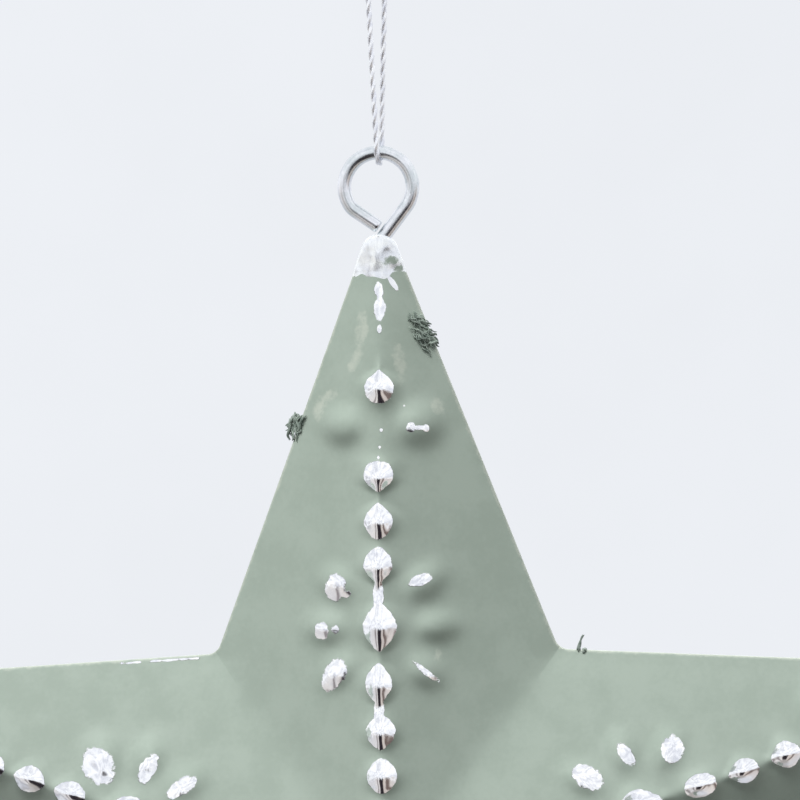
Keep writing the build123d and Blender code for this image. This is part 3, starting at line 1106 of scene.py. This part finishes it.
def bend_eye():
    """Wire eye: shank, long leg, ring and the short leg with its cut end."""
    sizes = settings().eye
    leg, ring_end = sizes.leg_angle, pi + sizes.cut_angle
    foot = np.array([0, -sizes.radius / sin(leg)])
    set_back = sizes.shank_bend * tan(leg / 2)
    shank_end = foot - [0, set_back + sizes.shank_length]
    knee_centre = foot + [sizes.shank_bend, -set_back]
    knee = arc(knee_centre, sizes.shank_bend, pi, pi - leg, BEND_POINTS)
    ring = arc(np.zeros(2), sizes.radius, -leg, ring_end, RING_POINTS)
    cut_centre = (sizes.radius - sizes.cut_bend) * heading(ring_end)
    cut_way = ring_end + sizes.cut_turn
    cut_knee = arc(cut_centre, sizes.cut_bend, ring_end, cut_way, BEND_POINTS)
    cut_tip = cut_knee[-1] + sizes.cut_length * heading(cut_way + pi / 2)
    flat = np.array([shank_end, *knee, *ring, *cut_knee[1:], cut_tip])
    eye = MOUNTS["wire_eye"]
    line = np.stack([flat[:, 0] + eye.x, np.full(len(flat), eye.y), flat[:, 1] + eye.z], axis=1)
    line = even_line(line, STEP)
    radius = np.full(len(line), sizes.wire / 2)
    radius[-len(CUT_END):] *= CUT_END
    stock = MeshStock()
    add_tube(stock, line, radius, WIRE_SIDES)
    return stock.make("wire_eye")


# Lumps of the solder cap's front: place along, place beside the ridge, length, width, height
SOLDER_LUMPS = in_mm((61.95, -0.95, 1.5, 0.9, 0.06), (61.6, 0.5, 1.6, 1.0, 0.07))

# Rests of paint on the solder's front, mm: place along and beside the ridge, length and width
PAINT_RESTS = ((62.6, 1.2, 0.8, 1.5), (61.5, 1.9, 1.2, 0.9))

# The cap's points along and across the arm, and where along it they start, hidden under the paint
SOLDER_ROWS, SOLDER_TIP_ROWS, SOLDER_COLUMNS = 60, 18, 61
SOLDER_START = 59.4 * MM

# The cap's ragged lower edge: its place along, its ripple, and how it rises on the front's right,
# from and over which width
SOLDER_EDGE, SOLDER_RIPPLE = 61.25 * MM, 0.12 * MM
RIGHT_RISE, RIGHT_START, RIGHT_WIDTH = 0.35 * MM, 0.9 * MM, 0.7 * MM

# Thickness of the cap's skin and the way over which it grows, and the same for its swelling to
# the tip
SKIN, SKIN_RUN = 0.05 * MM, 0.9 * MM
SWELL, SWELL_START, SWELL_RUN = 0.55 * MM, 61.5 * MM, 3.6 * MM

# How far the skin may widen the arm and lengthen its tip
WIDEN, LENGTHEN = 0.12 * MM, 0.1 * MM


def flow_solder():
    """Solder cap: a thin uneven skin over the top tip that runs out along a ragged line."""
    form = StarForm(settings().star)
    rows = np.concatenate([
        np.linspace(SOLDER_START, form.tip_centre, SOLDER_ROWS)[:-1],
        form.tip_rows(SOLDER_TIP_ROWS),
    ])
    shares = np.sin(np.linspace(-pi / 2, pi / 2, SOLDER_COLUMNS))
    along = np.broadcast_to(rows[:, None], (len(rows), len(shares)))
    side = shares * form.half_width(rows)[:, None]
    tip_share = np.clip((rows[:, None] - form.tip_centre) / form.star.tip_round, 0, 1)
    halves = []
    for facing in (FRONT, BACK):
        ripple = np.sin(2.6 * side / MM + facing) + 0.5 * np.sin(6.1 * side / MM)
        edge = SOLDER_EDGE + SOLDER_RIPPLE * ripple
        if facing == FRONT:
            edge = edge + RIGHT_RISE * np.clip((side - RIGHT_START) / RIGHT_WIDTH, 0, 1) ** 2
        skin = SKIN * np.clip((along - edge) / SKIN_RUN, -1.5, 1)
        swell = np.clip((along - SWELL_START) / SWELL_RUN, 0, 1) ** 1.2
        skin = skin + SWELL * swell * (1 - 0.5 * np.abs(shares) ** 6)
        if facing == FRONT:
            for place, beside, long, wide, high in SOLDER_LUMPS:
                reach = Bump((place, beside), (long, wide, high)).reach(along, side)
                skin = skin + high * np.exp(-reach)
        height = form.round_edge(along, side, form.facet_height(along, side)) + skin
        spread = np.sign(side) * np.abs(shares) ** 8 * np.clip(skin, -SKIN, WIDEN)
        points = form.to_frame(0, along, side + spread, height, facing)
        points[..., 2] += tip_share * np.clip(skin, 0, LENGTHEN)
        halves.append(points if facing == FRONT else points[:, ::-1])
    ring = np.concatenate(halves, axis=1)
    count = ring.shape[1]
    stock = MeshStock()
    stock.add(ring, wrapped_faces(len(rows), count))
    stock.add([ring[0].mean(axis=0)], [])
    stock.faces.extend((i, count * len(rows), (i + 1) % count) for i in range(count))
    piece = stock.make("tip_solder_cap")
    weld(piece.data)
    points = np.array([vertex.co for vertex in piece.data.vertices], float)
    _, along, side = form.to_arm(points)
    stain = 1 - np.min([flat_patch(*rest).reach(along, side) for rest in PAINT_RESTS], axis=0)
    stain = np.where(points[:, 1] < 0, stain, FIELD_FLOOR)
    put_values(piece.data, "stain", stain.clip(FIELD_FLOOR, 1))
    return piece


# How the strands of the seen tacks lie: number, length, turn from the rim's way to the tip towards
# outside, reach along the rim and across it, place of their middle outside the edge, and share in
# front of the seam. Lengths are in mm, and the other tacks differ by chance in turn and place
TACK_STYLES = {
    "seam_tack_top_right": (52, 1.5, 146, 1.75, 0.62, -0.55, 0.85),
    "seam_tack_top_left": (44, 1.7, 10, 0.9, 0.6, 0.35, 0.65),
    "seam_tack_right_upper": (4, 0.5, 20, 0.3, 0.1, 0.0, 0.8),
}

# The tack with a curl that stands off the rim, in mm: the curl's sweep along the rim, its height,
# its thickness at the foot, and the bends of its two strands
CURLED_TACK = "seam_tack_right_upper"
CURL_SWEEP, CURL_HEIGHT, CURL_THICKNESS = 0.55, 1.5, 0.16
CURL_BENDS = (0.0, 0.12)

# Points and sides of a strand
STRAND_POINTS, CURL_POINTS, STRAND_SIDES = 11, 9, 6


def tack_seam(node, chance):
    """One seam tack: folded strands of thick paint on the rim."""
    form = StarForm(settings().star)
    solid = np.array([vertex.co for vertex in frame["nodes"][node].data.vertices], float)
    middle = (solid.min(0) + solid.max(0)) / 2
    arm, along, side = (value[0] for value in form.to_arm(middle[None]))
    hand = np.sign(side)
    edge = (form.star.sharp_tip_radius - along) * tan(form.alpha)
    unseen = (34, 1.7, chance.uniform(0, 180), 1.1, 0.6, chance.uniform(-0.4, 0.3), 0.5)
    count, long, turn, reach, breadth, shift, front = TACK_STYLES.get(node, unseen)

    def lay(run, out, lift, facing, thick):
        """Points by the way along the rim, the way outside it and the lift off the surface."""
        place = along + run * cos(form.alpha) + out * sin(form.alpha)
        beside = edge - run * sin(form.alpha) + out * cos(form.alpha)
        inside = np.clip(form.edge_gap(place, beside) / form.star.edge_band + 0.8, 0, 1)
        height = inside * form.facet_height(place, beside) + lift + 0.6 * thick
        return form.to_frame(arm, place, hand * beside, height, facing)

    stock = MeshStock()
    t = np.linspace(-0.5, 0.5, STRAND_POINTS)
    ends = 0.25 + 0.75 * np.sqrt(np.clip(1 - (2 * t) ** 2, 0, 1))
    for _ in range(count):
        way = radians(turn + chance.normal(0, 14))
        size = long * MM * chance.uniform(0.5, 1.1)
        depth, waves = chance.uniform(0.05, 0.2) * MM, chance.uniform(0.8, 1.7)
        bend = depth * np.sin(2 * pi * (waves * t + chance.random()))
        bend = bend + chance.normal(0, 0.35) * size * (t**2 - 0.08)
        at_run = chance.uniform(-reach, reach) * MM
        at_out = (shift + chance.uniform(-breadth, breadth)) * MM
        run = at_run + size * t * cos(way) - bend * sin(way)
        out = at_out + size * t * sin(way) + bend * cos(way)
        lift = abs(chance.normal(0, 0.16)) * MM * (1 - (1.6 * t) ** 2)
        thick = chance.uniform(0.07, 0.15) * MM
        facing = FRONT if chance.random() < front else BACK
        add_tube(stock, lay(run, out, lift, facing, thick), thick * ends, STRAND_SIDES)
    if node == CURLED_TACK:
        rise = np.linspace(0, 1, CURL_POINTS)
        thick = CURL_THICKNESS * MM * (1.05 - 0.75 * rise)
        for bend in CURL_BENDS:
            run = (CURL_SWEEP * rise**2 + bend * np.sin(5 * rise) - 0.35) * MM
            curl = lay(run, CURL_HEIGHT * rise * MM, 0.1 * MM, FRONT, 0.0)
            add_tube(stock, curl, thick, STRAND_SIDES)
    return stock.make(node.replace("seam_tack", "crumbled_tack"))


# Route of the thread loop, from the knot over the hook, down, under the eye's wire and back up
THREAD_ROUTE = in_mm(
    (-0.05, 0, 0.275),
    (-1.4, 0, 0.275),
    (-1.24, -0.095, -3.025),
    (-0.08, -0.98, -33.775),
    (0.04, -1.075, -37.075),
    (0.24, 1.075, -37.075),
    (0.34, 0.98, -33.775),
    (1.66, 0.095, -3.025),
    (1.75, 0, 0.275),
    (0.05, 0, 0.275),
)

# One tail of the knot, whose like is turned half round, and the strand across the knot's front
TAIL_ROUTE = in_mm((0.1, 0.0, 0.7), (0.25, 0.0, 0.9), (0.9, -0.2, 2.8), (2.6, -0.5, 4.4))
CROSS_ROUTE = in_mm((-0.8, -0.1, 0.5), (-0.3, -0.7, 0.95), (0.35, 0.55, 1.2), (0.8, 0.1, 0.5))

# The knot's wrap: number of turns, its length, its radius and its height over the hanging point
WRAP_TURNS, WRAP_LENGTH, WRAP_RADIUS, WRAP_HEIGHT = 2.6, 1.5 * MM, 0.53 * MM, 0.82 * MM

# How far the plies part at the end of a tail, and the sides of a ply
FRAY, PLY_SIDES = 0.7, 9


def twist_thread(stock, line, thread, fray=0.0):
    """Two plies twisted round a line."""
    across, up = line_frames(line)
    run = run_along(line)
    offset = (thread.thickness - thread.ply) / 2 * (1 + fray * (run / run[-1]) ** 6)
    for ply in (0, pi):
        way = turned(across, up, 2 * pi * run / thread.pitch + ply)
        add_tube(stock, line + offset[:, None] * way, thread.ply / 2, PLY_SIDES)


def hang_thread():
    """Thread loop from the knot through the wire eye and back."""
    thread = settings().thread
    line = even_line(route_line(THREAD_ROUTE), STEP)
    stock = MeshStock()
    twist_thread(stock, line, thread)
    piece = stock.make("thread_loop")
    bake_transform(piece)
    return piece


def tie_knot():
    """Overhand knot where the loop's two ends meet, with two short tails."""
    thread = settings().thread
    stock = MeshStock()
    share = np.linspace(0, 1, 31)
    turn = 2 * pi * WRAP_TURNS * share
    wrap = np.stack([
        (share - 0.5) * WRAP_LENGTH,
        WRAP_RADIUS * np.sin(turn),
        WRAP_HEIGHT + WRAP_RADIUS * np.cos(turn + 0.4),
    ], axis=1)
    for route in (wrap.tolist(), CROSS_ROUTE):
        twist_thread(stock, even_line(route_line(route), STEP), thread)
    for hand in (-1, 1):
        tail = [(hand * x, hand * y, z) for x, y, z in TAIL_ROUTE]
        twist_thread(stock, even_line(route_line(tail), STEP), thread, FRAY)
    return stock.make("thread_knot")


# Stage


def seen_only(tree, shader, one_sided):
    """Lets only the camera see a stage surface, and only its front where it is one-sided."""
    path = tree.nodes.new("ShaderNodeLightPath")
    shown = path.outputs["Is Camera Ray"]
    if one_sided:
        back = tree.nodes.new("ShaderNodeNewGeometry").outputs["Backfacing"]
        shown = times(tree, shown, maths(tree, "SUBTRACT", 1.0, back))
    clear = tree.nodes.new("ShaderNodeBsdfTransparent")
    choice = tree.nodes.new("ShaderNodeMixShader")
    tree.links.new(shown, choice.inputs[0])
    tree.links.new(clear.outputs[0], choice.inputs[1])
    tree.links.new(shader, choice.inputs[2])
    output = next(node for node in tree.nodes if node.type == "OUTPUT_MATERIAL")
    tree.links.new(choice.outputs[0], output.inputs["Surface"])


def stage_surface(name, tint, glow, one_sided):
    """Pale matt surface, part of whose colour is its own so that it stays even."""
    material, tree, shader, place = new_material(name)
    darker = [0.975 * value for value in tint]
    grain = clouded(tree, place, 6.0, tint, darker)["Colour"]
    feed_shader(tree, shader, Base_Color=grain, Roughness=0.9)
    light = add_node(tree, "ShaderNodeEmission", {"Color": grain})
    blend = add_node(tree, "ShaderNodeMixShader", {0: glow})
    tree.links.new(shader.outputs[0], blend.inputs[1])
    tree.links.new(light.outputs[0], blend.inputs[2])
    seen_only(tree, blend.outputs[0], one_sided)
    return material


def plane(name, corners, material):
    """A flat surface of the stage."""
    stock = MeshStock()
    stock.add(corners, [(0, 1, 2, 3)])
    made = stock.make(name)
    made.data.materials.append(material)


# What stands in front of the star, as its bright metal mirrors it: share of a full turn, colour
MIRRORED_ROOM = (
    (0.0, (226, 226, 230)),
    (0.15, (224, 222, 222)),
    (0.18, (140, 134, 136)),
    (0.22, (140, 134, 136)),
    (0.25, (232, 230, 230)),
    (0.33, (230, 226, 224)),
    (0.345, (150, 143, 143)),
    (0.37, (150, 143, 143)),
    (0.385, (232, 228, 226)),
    (0.43, (228, 222, 218)),
    (0.445, (62, 56, 59)),
    (0.56, (42, 38, 43)),
    (0.61, (58, 51, 53)),
    (0.625, (212, 201, 194)),
    (0.68, (215, 205, 198)),
    (0.69, (112, 97, 92)),
    (0.715, (120, 105, 99)),
    (0.73, (226, 217, 211)),
    (0.83, (229, 223, 219)),
    (1.0, (226, 226, 230)),
)

# The mirrored room under the star and behind it, and the dull and bright clouds of its ceiling
UNDER, BEHIND = srgb(176, 170, 166), srgb(226, 228, 234)
CEILING = ((0.8, 0.82, 0.88), (1.2, 1.21, 1.22))

# How the ceiling's lower line is shaken: scale and reach of each wave
CEILING_WAVES = ((3.0, 0.5), (9.0, 1.1))

# Light of the room on matt surfaces, from below and from above
ROOM_LIGHT = ((0.2, 0.2, 0.2), (0.44, 0.45, 0.455))

# Lamps: name, place and strength to the set power, with the width of both and what they are
# turned to
LAMPS = (
    ("soft_lamp", (-0.216, -0.36, 0.56), 1.0),
    ("back_lamp", (0.24, 0.5, 0.4), 0.6),
)
LAMP_WIDTH = 0.55
LAMP_TARGET = Vector((0, 0, -0.08))

# Reach of the floor and the wall, and how much of their colour is their own
STAGE_REACH = 4.0
FLOOR_GLOW, WALL_GLOW = 0.45, 0.9


def light_room(stage):
    """The room: what the metal mirrors, what lights the paint and what the camera sees."""
    world = bpy.data.worlds.new("pale_room")
    bpy.context.scene.world = world
    world.use_nodes = True
    tree = world.node_tree
    tree.nodes.clear()
    way = add_node(tree, "ShaderNodeTexCoord").outputs["Generated"]
    parts = add_node(tree, "ShaderNodeSeparateXYZ", {0: way}).outputs
    forward = times(tree, parts["Y"], -1.0)
    bearing = maths(tree, "ARCTAN2", parts["X"], forward)
    share_round = plus(tree, maths(tree, "DIVIDE", bearing, 2 * pi), 0.5)
    room = add_node(tree, "ShaderNodeValToRGB", {"Fac": share_round})
    stops = room.color_ramp.elements
    for number, (place, tint) in enumerate(MIRRORED_ROOM):
        stop = stops[number] if number < len(stops) else stops.new(place)
        stop.position = place
        stop.color = (*srgb(*tint), 1)
    deep = step_up(tree, parts["Z"], -0.85, -0.98)
    low = mix_colour(tree, deep, room.outputs["Color"], UNDER)
    low = mix_colour(tree, step_up(tree, parts["Y"], -0.1, 0.4), low, BEHIND)
    line = parts["Z"]
    for scale, reach in CEILING_WAVES:
        shake = maths(tree, "SUBTRACT", noise(tree, way, scale), 0.5)
        line = plus(tree, line, times(tree, shake, reach))
    bright = step_up(tree, noise(tree, way, 5.0), 0.36, 0.62)
    ceiling = mix_colour(tree, bright, *CEILING)
    mirrored = mix_colour(tree, step_up(tree, line, -0.16, 0.06), low, ceiling)
    soft = mix_colour(tree, step_up(tree, parts["Z"], -0.2, 0.8), *ROOM_LIGHT)
    path = add_node(tree, "ShaderNodeLightPath").outputs
    seen = mix_colour(tree, path["Is Glossy Ray"], soft, mirrored)
    seen = mix_colour(tree, path["Is Camera Ray"], seen, stage.wall)
    background = add_node(tree, "ShaderNodeBackground", {"Color": seen})
    output = tree.nodes.new("ShaderNodeOutputWorld")
    tree.links.new(background.outputs[0], output.inputs["Surface"])


def set_lamps(stage):
    """A soft lamp in front and a weaker one behind, which the bright metal doesn't mirror."""
    for name, place, strength in LAMPS:
        lamp = bpy.data.lights.new(name, "AREA")
        lamp.shape = "DISK"
        lamp.size = LAMP_WIDTH
        lamp.energy = strength * stage.lamp_power
        made = link_object(name, lamp)
        made.location = place
        made.visible_glossy = False
        made.rotation_mode = "QUATERNION"
        made.rotation_quaternion = (LAMP_TARGET - made.location).to_track_quat("-Z", "Y")


def set_camera(stage):
    """Camera at the photograph's angle."""
    data = bpy.data.cameras.new("photo_camera")
    data.lens = stage.lens
    data.sensor_width = 36
    data.clip_end = 20
    camera = link_object("photo_camera", data)
    back = Vector((
        sin(stage.azimuth) * cos(stage.elevation),
        -cos(stage.azimuth) * cos(stage.elevation),
        sin(stage.elevation),
    ))
    right = Vector((cos(stage.azimuth), sin(stage.azimuth), 0))
    turn = Matrix.Rotation(stage.roll, 3, back)
    axes = Matrix((right, back.cross(right), back)).transposed()
    camera.matrix_world = Matrix.Translation(
        Vector((stage.target_x, 0, stage.target_z)) + stage.distance * back
    ) @ (turn @ axes).to_4x4()
    bpy.context.scene.camera = camera


class TINSTAR_OT_press_halves(bpy.types.Operator):
    """Press the front and back halves of the star"""

    bl_idname = "tinstar.press_halves"
    bl_label = "Press halves"

    def execute(self, context):
        material = painted_tin(settings().finish)
        for name, node, facing, seen in (
            ("star_front", "front_shell", FRONT, True),
            ("star_back", "back_shell", BACK, False),
        ):
            piece = press_half(name, facing, seen)
            finish_piece(piece, material, "painted_tin", node)
            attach(piece, "star")
        return {"FINISHED"}


class TINSTAR_OT_bend_eye(bpy.types.Operator):
    """Bend the wire eye on the top tip"""

    bl_idname = "tinstar.bend_eye"
    bl_label = "Bend wire eye"

    def execute(self, context):
        material = drawn_wire(settings().finish)
        piece = finish_piece(bend_eye(), material, "bright_wire", "hanger_eye")
        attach(piece, "star")
        return {"FINISHED"}


class TINSTAR_OT_flow_solder(bpy.types.Operator):
    """Flow the solder cap over the top tip"""

    bl_idname = "tinstar.flow_solder"
    bl_label = "Flow solder"

    def execute(self, context):
        material = bright_solder(settings().finish)
        piece = finish_piece(flow_solder(), material, "solder", "tip_solder")
        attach(piece, "star")
        return {"FINISHED"}


class TINSTAR_OT_tack_seam(bpy.types.Operator):
    """Put the crumbled tacks on the seam"""

    bl_idname = "tinstar.tack_seam"
    bl_label = "Tack seam"

    def execute(self, context):
        material = crumbled_paint(settings().finish)
        chance = np.random.default_rng(SEED)
        for node in sorted(frame["nodes"]):
            if node.startswith("seam_tack"):
                piece = finish_piece(tack_seam(node, chance), material, "seam_tack", node)
                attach(piece, "star")
        return {"FINISHED"}


class TINSTAR_OT_hang_thread(bpy.types.Operator):
    """Tie the knot and hang the thread loop through the eye"""

    bl_idname = "tinstar.hang_thread"
    bl_label = "Hang thread"

    def execute(self, context):
        material = metallic_thread(settings().finish)
        knot = finish_piece(tie_knot(), material, "thread", "cord_knot")
        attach(knot, "cord")
        loop_nodes = ("cord_left_strand", "cord_right_strand", "cord_bight")
        finish_piece(hang_thread(), material, "thread", *loop_nodes)
        return {"FINISHED"}


class TINSTAR_OT_set_stage(bpy.types.Operator):
    """Set the floor, the wall, the light and the camera"""

    bl_idname = "tinstar.set_stage"
    bl_label = "Set stage"

    def execute(self, context):
        stage = settings().stage
        low, high = -STAGE_REACH, STAGE_REACH
        floor, wall = -stage.floor_drop, stage.wall_gap
        plane(
            "floor",
            [(low, low, floor), (high, low, floor), (high, high, floor), (low, high, floor)],
            stage_surface("pale_floor", stage.floor, FLOOR_GLOW, one_sided=False),
        )
        plane(
            "wall",
            [(low, wall, floor), (high, wall, floor), (high, wall, high), (low, wall, high)],
            stage_surface("pale_wall", stage.wall, WALL_GLOW, one_sided=True),
        )
        light_room(stage)
        set_lamps(stage)
        set_camera(stage)
        context.scene.view_settings.view_transform = "Standard"
        return {"FINISHED"}


class TINSTAR_PT_maker(bpy.types.Panel):
    """Steps and settings of the tin star"""

    bl_label = "Tin star"
    bl_idname = "TINSTAR_PT_maker"
    bl_space_type = "VIEW_3D"
    bl_region_type = "UI"
    bl_category = "Tin star"

    def draw(self, context):
        for step in STEPS:
            self.layout.operator(step.bl_idname)
        for group_name in TinStar.__annotations__:
            group = getattr(context.scene.tin_star, group_name)
            box = self.layout.box()
            for setting in group.__annotations__:
                box.prop(group, setting)


STEPS = (
    TINSTAR_OT_press_halves,
    TINSTAR_OT_bend_eye,
    TINSTAR_OT_flow_solder,
    TINSTAR_OT_tack_seam,
    TINSTAR_OT_hang_thread,
    TINSTAR_OT_set_stage,
)
GROUPS = (StarSizes, PressingSizes, EyeSizes, ThreadSizes, Finishes, StageSizes, TinStar)
CLASSES = (*GROUPS, *STEPS, TINSTAR_PT_maker)


def register():
    for made in CLASSES:
        bpy.utils.register_class(made)
    bpy.types.Scene.tin_star = PointerProperty(type=TinStar)


def unregister():
    del bpy.types.Scene.tin_star
    for made in reversed(CLASSES):
        bpy.utils.unregister_class(made)


def main():
    register()
    for step in STEPS:
        group, name = step.bl_idname.split(".")
        getattr(getattr(bpy.ops, group), name)()


if __name__ == "__main__":
    main()
